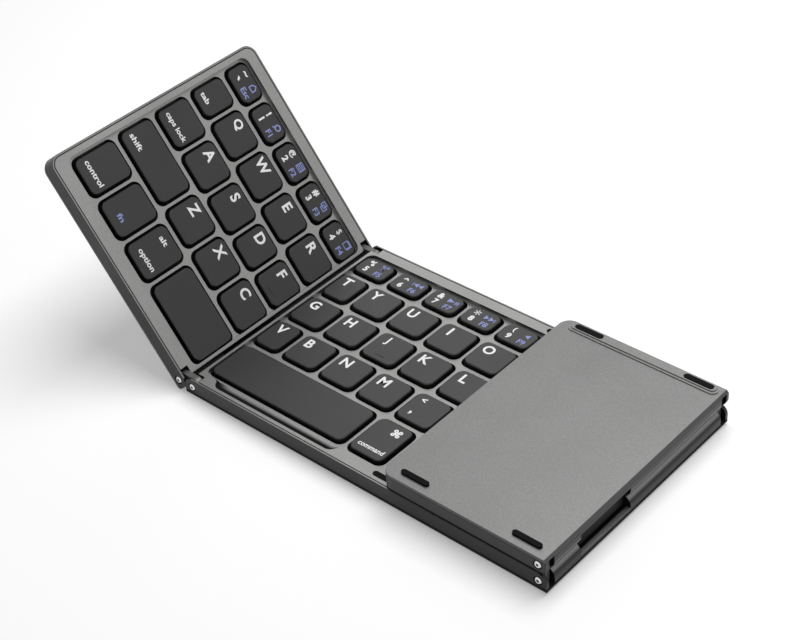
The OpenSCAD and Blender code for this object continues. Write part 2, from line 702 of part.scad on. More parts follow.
// ---- Centre panel's keys ----
module key_space_long() { centre_cap(0, 0); }
module keys_modifier_centre() { centre_cap(0, 1); centre_cap(0, 2); centre_cap(1, 7); centre_cap(2, 7); }
module keys_arrow() {
  centre_cap(0, 3); centre_cap(0, 5);
  color(key_col) on_desk() { cap(up_key); cap(down_key); }
}
module keys_number_centre() { for (i = [0:8]) centre_cap(4, i); }
module keys_punctuation() {
  centre_cap(1, 4); centre_cap(1, 5); centre_cap(1, 6); centre_cap(2, 5); centre_cap(2, 6);
  centre_cap(3, 6); centre_cap(3, 7); centre_cap(3, 8);
}
module key_v() { centre_cap(1, 0); }
module key_b() { centre_cap(1, 1); }
module key_n() { centre_cap(1, 2); }
module key_m() { centre_cap(1, 3); }
module key_g() { centre_cap(2, 0); }
module key_h() { centre_cap(2, 1); }
module key_j() { centre_cap(2, 2); color(key_col) on_desk() home_bar(centre_key(2, 2)); }
module key_k() { centre_cap(2, 3); }
module key_l() { centre_cap(2, 4); }
module key_t() { centre_cap(3, 0); }
module key_y() { centre_cap(3, 1); }
module key_u() { centre_cap(3, 2); }
module key_i() { centre_cap(3, 3); }
module key_o() { centre_cap(3, 4); }
module key_p() { centre_cap(3, 5); }

centre_frame();
centre_deck();
centre_back_plate();
centre_rubber_pads();
centre_key_sheet();
main_board();
charge_socket();
centre_pins();
left_frame();
left_deck();
left_back_plate();
left_rubber_feet();
left_key_sheet();
left_pins();
right_frame();
right_deck();
right_back_plate();
right_rubber_feet();
touchpad();
touchpad_board();
battery();
right_pins();
left_links();
left_cable_strip();
right_links();
right_cable_strip();
key_q();
key_w();
key_e();
key_r();
key_a();
key_s();
key_d();
key_f();
key_z();
key_x();
key_c();
key_space_left();
keys_modifier_left();
keys_number_left();
key_t();
key_y();
key_u();
key_i();
key_o();
key_p();
key_g();
key_h();
key_j();
key_k();
key_l();
key_v();
key_b();
key_n();
key_m();
key_space_long();
keys_modifier_centre();
keys_arrow();
keys_number_centre();
keys_punctuation();
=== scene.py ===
import math

import bpy
from mathutils import Matrix, Vector


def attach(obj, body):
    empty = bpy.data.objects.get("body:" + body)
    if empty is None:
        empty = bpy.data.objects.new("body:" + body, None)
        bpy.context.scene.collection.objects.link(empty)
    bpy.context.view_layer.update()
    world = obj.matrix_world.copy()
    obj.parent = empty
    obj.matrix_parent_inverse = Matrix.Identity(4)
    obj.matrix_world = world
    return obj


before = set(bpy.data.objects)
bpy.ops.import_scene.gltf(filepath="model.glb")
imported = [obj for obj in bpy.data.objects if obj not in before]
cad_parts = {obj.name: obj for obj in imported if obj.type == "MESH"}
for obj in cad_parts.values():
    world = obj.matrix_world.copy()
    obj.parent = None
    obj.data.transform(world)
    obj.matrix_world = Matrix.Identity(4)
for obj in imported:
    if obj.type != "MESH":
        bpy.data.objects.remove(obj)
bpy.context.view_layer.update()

MM = 0.001

# ---- sizes of the keyboard in millimetres and degrees, as in the part's source ----
DEPTH = 98.0
CENTRE_W = 157.5
LEFT_W = 91.15
RIGHT_W = 66.1
PANEL_T = 6.6
# A pin lies this far in from a panel's end and up from its underside
PIN_IN = PANEL_T / 2
LINK_PITCH = 6.8
WING_ANGLE = 53.0
FOOT_H = 0.8
EDGE_CHAMFER = 0.1
OUTER_WALL = 1.3
# Inner side of a link's notch, from the front or rear
NOTCH_Y = 4.1
# Front and rear of the cable recess, and its floor
CABLE_Y = (17.4, 43.1)
CABLE_Z = PANEL_T / 2 - 0.9
# A deck's edge lies this far in from the panel's sides
DECK_IN = 1.05
# Height of the key tops, the distances from the panel's edges to them and the spaces between them
CAP_TOP = PANEL_T - 0.25
KEY_EDGE = 4.6
FREE_EDGE = 5.1
KEY_FRONT = 8.3
KEY_BACK = 6.9
SPACE_X = 3.2
SPACE_Y = 3.5

# Shares of a row's width that its keys take, about 1 for a letter key, front row first
CENTRE_ROWS = [
    [3.69, 0.993, 0.993, 0.993, 0.993, 0.99],
    [0.793, 1, 1, 1, 1, 1, 1, 1.86],
    [0.987, 1, 1, 1, 1, 1, 1, 1.666],
    [0.81, 1, 1, 1, 1, 1, 1, 1, 0.843],
    [0.959, 0.959, 0.959, 0.959, 0.959, 0.959, 0.959, 0.959, 0.982],
]
LEFT_ROWS = [
    [0.97, 0.976, 0.979, 1.901],
    [1.797, 1, 0.99, 1.042],
    [1.029, 1.005, 0.999, 0.87, 0.925],
    [0.797, 1, 1, 1, 1.031],
    [0.966, 0.966, 0.966, 0.966, 0.966],
]
# Shares of the depth that the rows take, front row first
ROW_UNITS = [1.213, 1, 1, 0.982, 0.731]

# ---- where the panels lie ----
# A panel is measured from the front corner of a hinge end, with X across, Y to the back and Z up
# from its underside. The left panel lies at negative X, the other two lie at positive X. The raised
# left panel reaches out by TIP beside the centre panel, and the two together are centred.
WING = math.radians(WING_ANGLE)
TIP = LINK_PITCH - PIN_IN + (LEFT_W - PIN_IN - EDGE_CHAMFER) * math.cos(WING) + PIN_IN * math.sin(WING)
CENTRE_X = (TIP - CENTRE_W) / 2
ON_DESK = Matrix.Translation((CENTRE_X, -DEPTH / 2, FOOT_H))
ON_LEFT = (
    ON_DESK
    @ Matrix.Translation((PIN_IN - LINK_PITCH, 0, PIN_IN))
    @ Matrix.Rotation(WING, 4, "Y")
    @ Matrix.Translation((PIN_IN, 0, -PIN_IN))
)
ON_RIGHT = (
    ON_DESK
    @ Matrix.Translation((CENTRE_W - PIN_IN, 0, PIN_IN + LINK_PITCH))
    @ Matrix.Rotation(math.pi, 4, "Y")
    @ Matrix.Translation((-PIN_IN, 0, -PIN_IN))
)
PANELS = {"left": ON_LEFT, "centre": ON_DESK, "right": ON_RIGHT}


def row_span(r):
    """Front and rear edge of a row's key tops."""
    field = DEPTH - KEY_FRONT - KEY_BACK + SPACE_Y
    y0 = KEY_FRONT + field * sum(ROW_UNITS[:r]) / sum(ROW_UNITS)
    y1 = KEY_FRONT + field * sum(ROW_UNITS[: r + 1]) / sum(ROW_UNITS) - SPACE_Y
    return y0, y1


def key_top(row, r, i, start, field):
    """Left, right, front and rear edge of a key's top."""
    x0 = start + field * sum(row[:i]) / sum(row)
    x1 = start + field * sum(row[: i + 1]) / sum(row) - SPACE_X
    return (x0, x1) + row_span(r)


def centre_key(r, i):
    return key_top(CENTRE_ROWS[r], r, i, KEY_EDGE, CENTRE_W - 2 * KEY_EDGE + SPACE_X)


def left_key(r, i):
    return key_top(LEFT_ROWS[r], r, i, FREE_EDGE - LEFT_W, LEFT_W - KEY_EDGE - FREE_EDGE + SPACE_X)


# ---- camera ----
# Azimuth, elevation and roll in degrees
CAMERA_ANGLES = (44.067, 37.7, -4.75)
# The point that the camera's place is measured from: across, behind and above the centre panel's
# own corner, which puts it a little above the panel
AIM_ACROSS = 70
AIM_BEHIND = 49
AIM_ABOVE = 8
CAMERA_AIM = Vector((AIM_ACROSS + CENTRE_X, AIM_BEHIND - DEPTH / 2, AIM_ABOVE + FOOT_H))
# The camera's place from there, in millimetres to its own right, up and back
TO_RIGHT = -9.954
TO_TOP = 19.685
TO_BACK = 612.717
# Width of the sensor in millimetres, and the focal length and the picture's width in pixels
SENSOR_W = 36.0
FOCAL_PIXELS = 1803.78
PICTURE_PIXELS = 800
# Nearest distance that the camera sees, in metres
CLIP_START = 0.01


def put_camera():
    azimuth, elevation, roll = (math.radians(angle) for angle in CAMERA_ANGLES)
    back = Vector((
        math.sin(azimuth) * math.cos(elevation),
        -math.cos(azimuth) * math.cos(elevation),
        math.sin(elevation),
    ))
    level = Vector((math.cos(azimuth), math.sin(azimuth), 0))
    upright = back.cross(level)
    right = level * math.cos(roll) + upright * math.sin(roll)
    up = upright * math.cos(roll) - level * math.sin(roll)
    place = CAMERA_AIM + TO_RIGHT * right + TO_TOP * up + TO_BACK * back
    bpy.ops.object.camera_add()
    camera = bpy.context.object
    camera.name = "photo_camera"
    turn = Matrix((right, up, back)).transposed().to_4x4()
    camera.matrix_world = Matrix.Translation(place * MM) @ turn
    camera.data.sensor_width = SENSOR_W
    camera.data.lens = FOCAL_PIXELS * SENSOR_W / PICTURE_PIXELS
    camera.data.clip_start = CLIP_START
    bpy.context.scene.camera = camera


# ---- finishes ----
PLAIN = (1.0, 1.0, 1.0)
WARM = (1.0, 0.995, 0.985)
COOL = (1.0, 1.0, 1.01)
FOIL = (1.0, 1.0, 1.02)
GREEN = (0.25, 1.0, 0.45)
BLUE = (0.42, 0.48, 1.0)
# Scale of the soft clouds in a finish, the noise levels that they run between, the share of the
# colour that the darkest ones leave, and how far they change the roughness
CLOUD_SCALE = 45.0
CLOUD_LOW = 0.3
CLOUD_HIGH = 0.7
CLOUD_DIM = 0.94
CLOUD_ROUGH = 0.05
# Detail and roughness of the noise that clouds and flecks are made of
CLOUD_NOISE = (2.0, 0.5)
FLECK_NOISE = (3.0, 0.65)
# Noise levels of the dark, plain and bright flecks
FLECK_LEVELS = (0.28, 0.5, 0.72)
# Depth of the relief, in metres
RELIEF = 0.00004
# Millimetres over which a painted edge fades to each side: the usual way, finer, and sharp
SOFT = 0.06
FINE = 0.05
SHARP = 0.02


def grey(v, tint=PLAIN):
    return tuple(v * t for t in tint)


class Paint:
    """A procedural material. A mask is an output that is one in some places and zero in others."""

    def __init__(self, name, roughness, metallic, specular):
        self.material = bpy.data.materials.new(name)
        self.material.use_nodes = True
        self.nodes = self.material.node_tree.nodes
        self.links = self.material.node_tree.links
        self.shader = self.nodes["Principled BSDF"]
        self.shader.inputs["Metallic"].default_value = metallic
        self.shader.inputs["Roughness"].default_value = roughness
        self.shader.inputs["Specular IOR Level"].default_value = specular
        self.place = self.nodes.new("ShaderNodeTexCoord").outputs["Object"]

    def noise(self, scale, detail, rough):
        node = self.nodes.new("ShaderNodeTexNoise")
        node.inputs["Scale"].default_value = scale
        node.inputs["Detail"].default_value = detail
        node.inputs["Roughness"].default_value = rough
        self.links.new(self.place, node.inputs["Vector"])
        return node.outputs["Fac"]

    def ramp(self, source, stops):
        node = self.nodes.new("ShaderNodeValToRGB")
        elements = node.color_ramp.elements
        while len(elements) < len(stops):
            elements.new(0.5)
        for element, (at, shade) in zip(elements, stops):
            element.position = at
            element.color = tuple(shade) + (1.0,)
        self.links.new(source, node.inputs["Fac"])
        return node.outputs["Color"]

    def map_range(self, value, low, high, to_low=0.0, to_high=1.0):
        node = self.nodes.new("ShaderNodeMapRange")
        node.inputs["From Min"].default_value = low
        node.inputs["From Max"].default_value = high
        node.inputs["To Min"].default_value = to_low
        node.inputs["To Max"].default_value = to_high
        self.links.new(value, node.inputs["Value"])
        return node.outputs["Result"]

    def worked(self, operation, a, b=None):
        """A maths node on two outputs or numbers."""
        node = self.nodes.new("ShaderNodeMath")
        node.operation = operation
        for source, place in ((a, node.inputs[0]), (b, node.inputs[1])):
            if isinstance(source, (int, float)):
                place.default_value = source
            elif source is not None:
                self.links.new(source, place)
        return node.outputs["Value"]

    def measured(self, direction, origin):
        """How far a point lies from an origin along a direction, in millimetres."""
        along = self.nodes.new("ShaderNodeVectorMath")
        along.operation = "DOT_PRODUCT"
        along.inputs[1].default_value = direction / MM
        self.links.new(self.place, along.inputs[0])
        return self.worked("SUBTRACT", along.outputs["Value"], direction.dot(origin))

    def all_of(self, *masks):
        """One where every mask is one."""
        product = masks[0]
        for mask in masks[1:]:
            product = self.worked("MULTIPLY", product, mask)
        return product

    def any_of(self, *masks):
        """One where some mask is one."""
        most = masks[0]
        for mask in masks[1:]:
            most = self.worked("MAXIMUM", most, mask)
        return most

    def without(self, mask):
        return self.worked("SUBTRACT", 1.0, mask)

    def above(self, value, edge, soft=SOFT):
        return self.map_range(value, edge - soft, edge + soft)

    def below(self, value, edge, soft=SOFT):
        return self.without(self.above(value, edge, soft))

    def band(self, value, low, high, soft=SOFT):
        """One between two edges."""
        return self.all_of(self.above(value, low, soft), self.below(value, high, soft))

    def from_middle(self, value, middle):
        """How far a value lies from a middle, to either side."""
        return self.worked("ABSOLUTE", self.worked("SUBTRACT", value, middle))

    def painted_light_or_shade_where(self, mask, shade, roughness=None):
        """Where the mask is one, the paint turns to a grey of painted light or shade, and to that roughness
        if given.
        """
        kept = self.without(mask)
        mix = self.nodes.new("ShaderNodeMix")
        mix.data_type = "RGBA"
        mix.inputs["A"].default_value = grey(shade) + (1.0,)
        self.links.new(kept, mix.inputs["Factor"])
        self.links.new(self.shader.inputs["Base Color"].links[0].from_socket, mix.inputs["B"])
        self.links.new(mix.outputs["Result"], self.shader.inputs["Base Color"])
        if roughness is not None:
            rough = self.nodes.new("ShaderNodeMix")
            rough.inputs["A"].default_value = roughness
            self.links.new(kept, rough.inputs["Factor"])
            self.links.new(self.shader.inputs["Roughness"].links[0].from_socket, rough.inputs["B"])
            self.links.new(rough.outputs["Result"], self.shader.inputs["Roughness"])


def speckled(name, base, roughness, speckle, grain, bump, tint=PLAIN, metallic=0.0, specular=0.5):
    """Plastic, paint or metal with fine flecks: grain is the size of a fleck in metres."""
    paint = Paint(name, roughness, metallic, specular)
    nodes, links, shader = paint.nodes, paint.links, paint.shader
    flecks = paint.noise(1.0 / grain, *FLECK_NOISE)
    clouds = paint.noise(CLOUD_SCALE, *CLOUD_NOISE)
    fleck_shades = (base * (1 - speckle), base, base * (1 + speckle))
    mix = nodes.new("ShaderNodeMix")
    mix.data_type = "RGBA"
    mix.blend_type = "MULTIPLY"
    mix.inputs["Factor"].default_value = 1.0
    fleck_stops = [(at, grey(v, tint)) for at, v in zip(FLECK_LEVELS, fleck_shades)]
    links.new(paint.ramp(flecks, fleck_stops), mix.inputs["A"])
    cloud_stops = [(CLOUD_LOW, grey(CLOUD_DIM)), (CLOUD_HIGH, grey(1.0))]
    links.new(paint.ramp(clouds, cloud_stops), mix.inputs["B"])
    links.new(mix.outputs["Result"], shader.inputs["Base Color"])
    smoothest, roughest = roughness - CLOUD_ROUGH, roughness + CLOUD_ROUGH
    rough = paint.map_range(clouds, CLOUD_LOW, CLOUD_HIGH, smoothest, roughest)
    links.new(rough, shader.inputs["Roughness"])
    relief = nodes.new("ShaderNodeBump")
    relief.inputs["Strength"].default_value = bump
    relief.inputs["Distance"].default_value = RELIEF
    links.new(flecks, relief.inputs["Height"])
    links.new(relief.outputs["Normal"], shader.inputs["Normal"])
    return paint


# ---- painted light and shade that depend on the place, with lengths in millimetres ----
# Painted shade and its roughness in the slots at the hinges, in the groove round a deck and in the trough
SLOT_PAINTED_SHADE = (0.002, 0.9)
GROOVE_PAINTED_SHADE = (0.004, 0.9)
TROUGH_PAINTED_SHADE = (0.004, 0.95)
# Paint reaches this little past a wall's own line, so that the wall is covered too
PAST = 0.05
# The link notches and the cable recesses lie this near to a hinge end
HINGE_REACH = 6.5
# Painted shade makes the notches black above this height, and the recesses black from a little above their
# floor, both up to a little below the rim.
NOTCH_LOW = 0.8
CLEAR = 0.1
# Painted light on the outer part of the floor of the centre panel's right cable recess: its width, softness
# and grey
LIP_W = 1.6
LIP_SOFT = 0.25
LIP_PAINTED_LIGHT = 0.6
# Height above which a round end of the right hinge carries a painted highlight
ROUND_END_LOW = {"centre": PANEL_T / 2 + 2.0, "right": PANEL_T / 2 + 0.6}
ROUND_END_SOFT = 0.4
# Painted shade on the round ends of the left hinge: how far it reaches, and the height above which it makes
# them black
LEFT_END_W = 3.0
LEFT_END_SOFT = 0.1
LEFT_END_LOW = 2.0
LEFT_END_LOW_SOFT = 0.8
# Painted shade makes the right panel's wall black between these heights, next to the centre panel when
# folded, where the gap between them lies
SEAM_PAINTED_SHADE = (PANEL_T - 1.0, PANEL_T - 0.02)
# A rim's top keeps its lighter paint this deep, and painted shade darkens the walls below
RIM_SKIN = 0.012
RIM_SOFT = 0.01
# Painted shade on the side walls of each panel's frame
SIDE_PAINTED_SHADE = {"left": 0.028, "centre": 0.026, "right": 0.036}
# A deck counts as sunk from this depth, and painted shade makes it black from this far in from its own edge
DECK_SKIN = 0.05
DECK_EDGE = 0.1
# The finger trough ends at TROUGH_BACK. Painted shade darkens it in front of the first line and left of the
# second.
TROUGH_BACK = 6.4
LIT_BEHIND = 5.3
LIT_BEHIND_SOFT = 0.9
LIT_RIGHT = 14.0
LIT_RIGHT_SOFT = 2.2
PANEL_WIDTH = {"left": LEFT_W, "centre": CENTRE_W, "right": RIGHT_W}
# A back plate's sides begin at this height
PLATE_SKIN = 0.05
# Painted shade on a back plate's sides, with a roughness too on the centre panel
PLATE_SIDE_PAINTED_SHADE = {"left": (0.07,), "centre": SLOT_PAINTED_SHADE, "right": (0.07,)}
# Painted shade makes a key black from this depth below its top
KEY_SKIN = 0.2
KEY_SIDE_PAINTED_SHADE = 0.001
# A pin is bright this far in from the front and rear walls, where its ring lies, and farther in painted shade
# makes its hole black
PIN_SKIN = 0.3
PIN_HOLE_PAINTED_SHADE = 0.003


def height_on(paint, name):
    """Height above a panel's underside."""
    panel = PANELS[name]
    return paint.measured((panel.to_3x3() @ Vector((0, 0, 1))).normalized(), panel.translation)


def across_on(paint, name):
    """Way across a panel from its hinge end."""
    panel = PANELS[name]
    return paint.measured((panel.to_3x3() @ Vector((1, 0, 0))).normalized(), panel.translation)


def behind_front(paint):
    """Way back from the front edge, where all three panels begin."""
    return paint.measured(Vector((0, 1, 0)), ON_DESK.translation)


class PanelMasks:
    """The masks of the painted light and shade on a panel's frame and deck."""

    def __init__(self, paint, name):
        self.paint = paint
        self.name = name
        self.height = height_on(paint, name)
        self.across = across_on(paint, name)
        self.behind = behind_front(paint)
        self.off_middle = paint.from_middle(self.behind, DEPTH / 2)

    def near_hinge(self):
        """One near an end that carries a hinge."""
        paint = self.paint
        if self.name == "centre":
            return paint.above(paint.from_middle(self.across, CENTRE_W / 2), CENTRE_W / 2 - HINGE_REACH)
        return paint.below(paint.from_middle(self.across, 0.0), HINGE_REACH)

    def round_end_painted_highlight(self):
        """One where a painted highlight lies on the upper part of a round end, between the notches and clear
        of the recess.
        """
        paint = self.paint
        cable_middle = sum(CABLE_Y) / 2
        cable_half = (CABLE_Y[1] - CABLE_Y[0]) / 2
        return paint.all_of(
            # Both ends of the centre panel lie as far as this from its middle, and painted shade makes the
            # left one black later. On the right panel, which is narrower, only the hinge end does.
            paint.above(paint.from_middle(self.across, CENTRE_W / 2), CENTRE_W / 2 - PIN_IN),
            paint.below(self.off_middle, DEPTH / 2 - NOTCH_Y - PAST),
            paint.above(paint.from_middle(self.behind, cable_middle), cable_half),
            paint.above(self.height, ROUND_END_LOW[self.name], ROUND_END_SOFT),
        )

    def recess_floor_painted_light(self):
        """One where painted light lies on the outer part of the floor of the centre panel's right cable
        recess.
        """
        paint = self.paint
        return paint.all_of(
            paint.band(self.behind, CABLE_Y[0], CABLE_Y[1]),
            paint.band(self.height, CABLE_Z - PAST, CABLE_Z + PAST, SHARP),
            paint.above(self.across, CENTRE_W - LIP_W, LIP_SOFT),
        )

    def notch_strips(self, past_wall):
        """One over the strips, front and rear, that the link notches lie in."""
        inner = DEPTH / 2 - NOTCH_Y - PAST
        outer = DEPTH / 2 - OUTER_WALL + past_wall
        return self.paint.band(self.off_middle, inner, outer, SHARP)

    def slots(self):
        """One inside the link notches and the cable recesses, where painted shade makes them black."""
        paint = self.paint
        top = PANEL_T - CLEAR
        notch = paint.all_of(self.notch_strips(PAST), paint.band(self.height, NOTCH_LOW, top))
        recess = paint.all_of(
            paint.band(self.behind, CABLE_Y[0] - PAST, CABLE_Y[1] + PAST, SHARP),
            paint.band(self.height, CABLE_Z + CLEAR, top),
        )
        return paint.all_of(paint.any_of(notch, recess), self.near_hinge())

    def left_round_end_painted_shade(self):
        """One where painted shade makes the round end at the left hinge black, between the outer walls."""
        paint = self.paint
        from_end = self.across if self.name == "centre" else paint.worked("MULTIPLY", self.across, -1.0)
        return paint.all_of(
            paint.below(from_end, LEFT_END_W, LEFT_END_SOFT),
            paint.below(self.off_middle, DEPTH / 2 - OUTER_WALL, FINE),
            paint.above(self.height, LEFT_END_LOW, LEFT_END_LOW_SOFT),
        )

    def right_seam_painted_shade(self):
        """One where painted shade makes the right panel's wall black next to the centre panel when folded."""
        return self.paint.band(self.height, *SEAM_PAINTED_SHADE, SHARP)

    def sunk(self):
        """One where a deck lies below its face."""
        return self.paint.below(self.height, PANEL_T - DECK_SKIN, SHARP)

    def trough_painted_shade(self):
        """One where painted shade darkens the centre panel's finger trough, near its front wall and near its
        left end.
        """
        paint = self.paint
        clear_of_painted_shade = paint.all_of(
            paint.above(self.behind, LIT_BEHIND, LIT_BEHIND_SOFT),
            paint.above(self.across, LIT_RIGHT, LIT_RIGHT_SOFT),
        )
        return paint.all_of(self.sunk(), paint.below(self.behind, TROUGH_BACK), paint.without(clear_of_painted_shade))

    def deck_edge_painted_shade(self):
        """One where painted shade makes a deck's end black: at the groove inside the rim and at the link
        notches.
        """
        paint = self.paint
        half = PANEL_WIDTH[self.name] / 2
        middle = -half if self.name == "left" else half
        inset = DECK_IN + DECK_EDGE
        return paint.any_of(
            paint.above(self.off_middle, DEPTH / 2 - inset, FINE),
            paint.above(paint.from_middle(self.across, middle), half - inset, FINE),
            paint.all_of(self.notch_strips(0.0), self.near_hinge()),
        )


def frame_paint(name):
    """Lighter on the rim's top, with a painted highlight on the upper round ends of the right hinge and
    painted light on the recess's lip. Painted shade darkens the side walls and makes the insides of the
    notches and the recesses and the gaps at the hinges black."""
    paint = speckled("shell_paint_" + name, base=0.2, tint=WARM, roughness=0.36, metallic=0.8,
                     speckle=0.2, grain=0.0003, bump=0.15)
    masks = PanelMasks(paint, name)
    # The rim's top keeps its lighter paint, and the right hinge's round ends get a painted highlight
    light = paint.above(masks.height, PANEL_T - RIM_SKIN, RIM_SOFT)
    if name in ROUND_END_LOW:
        light = paint.any_of(light, masks.round_end_painted_highlight())
    # Painted shade darkens the side walls everywhere else
    paint.painted_light_or_shade_where(paint.without(light), SIDE_PAINTED_SHADE[name])
    if name == "centre":
        # Painted light on the outer part of the right cable recess's floor
        paint.painted_light_or_shade_where(masks.recess_floor_painted_light(), LIP_PAINTED_LIGHT)
    # Painted shade makes the gap at the hinge and the insides of the notches and the recesses black
    hinge_gap_painted_shade = masks.right_seam_painted_shade() if name == "right" else masks.left_round_end_painted_shade()
    paint.painted_light_or_shade_where(paint.any_of(masks.slots(), hinge_gap_painted_shade), *SLOT_PAINTED_SHADE)
    return paint.material


def deck_paint(name):
    """Painted shade makes the deck's own edge and the groove round it black. On the centre panel, painted
    shade darkens the finger trough near its front wall and near its left end."""
    paint = speckled("deck_paint_" + name, base=0.27, tint=WARM, roughness=0.33, metallic=0.8,
                     speckle=0.22, grain=0.00032, bump=0.25)
    masks = PanelMasks(paint, name)
    if name == "centre":
        # Painted shade in the finger trough
        paint.painted_light_or_shade_where(masks.trough_painted_shade(), *TROUGH_PAINTED_SHADE)
    # Painted shade at the deck's edge and in the groove round it
    paint.painted_light_or_shade_where(paint.all_of(masks.deck_edge_painted_shade(), masks.sunk()), *GROOVE_PAINTED_SHADE)
    return paint.material


def plate_paint(name):
    """Painted shade makes the sides of the back plate darker than its flat underside."""
    paint = speckled("plate_paint_" + name, base=0.195, tint=WARM, roughness=0.42, metallic=0.5,
                     speckle=0.25, grain=0.00032, bump=0.3)
    # Painted shade on the plate's sides
    paint.painted_light_or_shade_where(paint.above(height_on(paint, name), PLATE_SKIN), *PLATE_SIDE_PAINTED_SHADE[name])
    return paint.material


def key_plastic(name):
    """Painted shade makes the keys black below their tops."""
    paint = speckled("key_charcoal_" + name, base=0.008, tint=COOL, roughness=0.38,
                     speckle=0.25, grain=0.00022, bump=0.2)
    # Painted shade on the keys' sides
    paint.painted_light_or_shade_where(paint.below(height_on(paint, name), CAP_TOP - KEY_SKIN), KEY_SIDE_PAINTED_SHADE)
    return paint.material


def ring_steel():
    """Bright at the front and rear walls, where a pin's ring lies. Farther in, painted shade makes the hole
    black.
    """
    paint = speckled("pin_ring_steel", base=0.75, roughness=0.3, metallic=1.0,
                     speckle=0.08, grain=0.0002, bump=0.05)
    off_middle = paint.from_middle(behind_front(paint), DEPTH / 2)
    # Painted shade inside a pin's hole
    paint.painted_light_or_shade_where(paint.below(off_middle, DEPTH / 2 - PIN_SKIN, FINE), PIN_HOLE_PAINTED_SHADE)
    return paint.material


def even(name, **finish):
    """A finish that is the same all over a piece."""
    return speckled(name, **finish).material


foot_rubber = even("foot_rubber", base=0.001, roughness=0.6, specular=0.06,
                   speckle=0.2, grain=0.0003, bump=0.3)
sheet_rubber = even("sheet_rubber", base=0.002, roughness=0.8, specular=0.2,
                    speckle=0.2, grain=0.0003, bump=0.3)
cable_film = even("cable_film", base=0.003, roughness=0.6, specular=0.2,
                  speckle=0.2, grain=0.0003, bump=0.1)
link_grey = even("link_satin_grey", base=0.12, tint=WARM, roughness=0.48, metallic=0.8,
                 speckle=0.12, grain=0.0002, bump=0.15)
socket_steel = even("socket_steel", base=0.7, roughness=0.3, metallic=1.0,
                    speckle=0.08, grain=0.0002, bump=0.05)
board_green = even("board_green", base=0.05, tint=GREEN, roughness=0.5,
                   speckle=0.2, grain=0.0006, bump=0.2)
cell_foil = even("cell_foil", base=0.4, tint=FOIL, roughness=0.5, metallic=0.5,
                 speckle=0.1, grain=0.001, bump=0.4)
touchpad_smooth = even("touchpad_smooth", base=0.02, tint=COOL, roughness=0.3,
                       speckle=0.1, grain=0.0002, bump=0.05)
legend_white = even("legend_white", base=0.97, roughness=0.5,
                    speckle=0.03, grain=0.0002, bump=0.05)
legend_blue = even("legend_blue", base=0.66, tint=BLUE, roughness=0.5,
                   speckle=0.05, grain=0.0002, bump=0.05)

# Finishes by a node's whole name, or by the ending of its name
FINISH_OF_NODE = {
    "main_board": board_green,
    "touchpad_board": board_green,
    "charge_socket": socket_steel,
    "battery": cell_foil,
    "touchpad": touchpad_smooth,
}
FINISH_OF_ENDING = {
    "_rubber_pads": foot_rubber,
    "_rubber_feet": foot_rubber,
    "_key_sheet": sheet_rubber,
    "_pins": ring_steel(),
    "_links": link_grey,
    "_cable_strip": cable_film,
}
for panel_name in PANELS:
    FINISH_OF_NODE[panel_name + "_frame"] = frame_paint(panel_name)
    FINISH_OF_NODE[panel_name + "_deck"] = deck_paint(panel_name)
    FINISH_OF_NODE[panel_name + "_back_plate"] = plate_paint(panel_name)
LEFT_KEYS = set("qwerasdfzxc") | {"space_left"}
left_plastic = key_plastic("left")
centre_plastic = key_plastic("centre")


def finish_of(name):
    if name.startswith("key"):
        on_left = name.endswith("_left") or name[4:] in LEFT_KEYS
        return left_plastic if on_left else centre_plastic
    if name in FINISH_OF_NODE:
        return FINISH_OF_NODE[name]
    for ending, finish in FINISH_OF_ENDING.items():
        if name.endswith(ending):
            return finish
    raise KeyError(name)


for name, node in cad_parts.items():
    for slot in node.material_slots:
        slot.material = finish_of(name)


# ---- legends on the keys ----
# How far a legend reaches into its key and stands out of it, in millimetres
SINK = 0.01
PROUD = 0.03
# Steps of a letter's curves, and the widening of its strokes where none is given
LETTER_STEPS = 4
SLIGHT_BOLD = 0.006


def nothing_selected():
    bpy.ops.object.select_all(action="DESELECT")


def glyphs(words, bold):
    """Words as a mesh one unit thick, with each stroke made wider by bold on both sides."""
    nothing_selected()
    bpy.ops.object.text_add(location=(0, 0, 0))
    text = bpy.context.object
    text.data.body = words
    text.data.size = 1.0
    text.data.offset = bold
    text.data.resolution_u = LETTER_STEPS
    text.data.extrude = 0.5
    bpy.ops.object.convert(target="MESH")
    return bpy.context.object


def legend(key, panel, words, x, y, height, width=None, align="left", bold=SLIGHT_BOLD):
    """Words with their lower left corner, or lower middle, x, y from the key's front left corner."""
    piece = glyphs(words, bold)
    corners = [v.co for v in piece.data.vertices]
    x0, x1 = min(c.x for c in corners), max(c.x for c in corners)
    y0, y1 = min(c.y for c in corners), max(c.y for c in corners)
    sy = height / (y1 - y0)
    sx = width / (x1 - x0) if width else sy
    shift = {"left": 0.0, "middle": (x1 - x0) / 2}[align]
    place = (
        Matrix.Scale(MM, 4)
        @ panel
        @ Matrix.Translation((key[0] + x, key[2] + y, CAP_TOP + (PROUD - SINK) / 2))
        @ Matrix.Diagonal((sx, sy, PROUD + SINK, 1.0))
        @ Matrix.Translation((-x0 - shift, -y0, 0))
    )
    piece.data.transform(place)
    return piece


def join_and_ride(pieces, name, body, finish):
    nothing_selected()
    for piece in pieces:
        piece.select_set(True)
    bpy.context.view_layer.objects.active = pieces[0]
    if len(pieces) > 1:
        bpy.ops.object.join()
    joined = bpy.context.view_layer.objects.active
    joined.name = name
    joined.data.name = name
    joined.data.materials.clear()
    joined.data.materials.append(finish)
    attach(joined, body)


# Each row's number, its first letter key and its letters, rear row first
LETTERS_LEFT = [(3, 1, "qwer"), (2, 1, "asdf"), (1, 1, "zxc")]
LETTERS_CENTRE = [(3, 0, "tyuiop"), (2, 0, "ghjkl"), (1, 0, "vbnm")]
